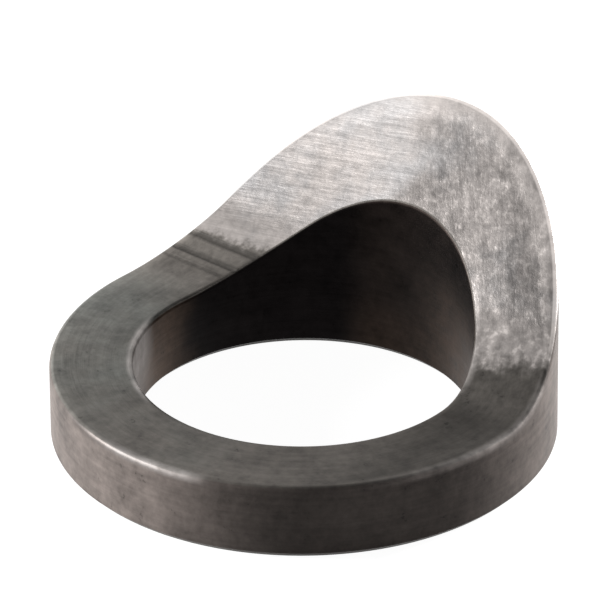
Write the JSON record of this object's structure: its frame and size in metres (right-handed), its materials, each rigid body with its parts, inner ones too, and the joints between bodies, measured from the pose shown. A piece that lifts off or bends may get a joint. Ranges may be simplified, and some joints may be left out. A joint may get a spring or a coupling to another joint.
{
  "type": "tubeless valve washer",
  "caption": "Round steel washer with a plain bore: its front is a flat ring and its back rises as a straight slope with a round blend at the foot.",
  "frame": {"origin": "centre of the bore at the base, which is also the bottom centre of the bounding box", "axes": "+Z along the bore from the base to the milled face, +Y towards the tall side, so the slope falls towards -Y"},
  "size_m": [0.0254, 0.0254, 0.0134],
  "materials": {
    "steel": "dark heat-treated skin on the ring and walls, bright milled slope"
  },
  "bodies": {
    "root": {"washer": "steel"}
  },
  "joints": []
}
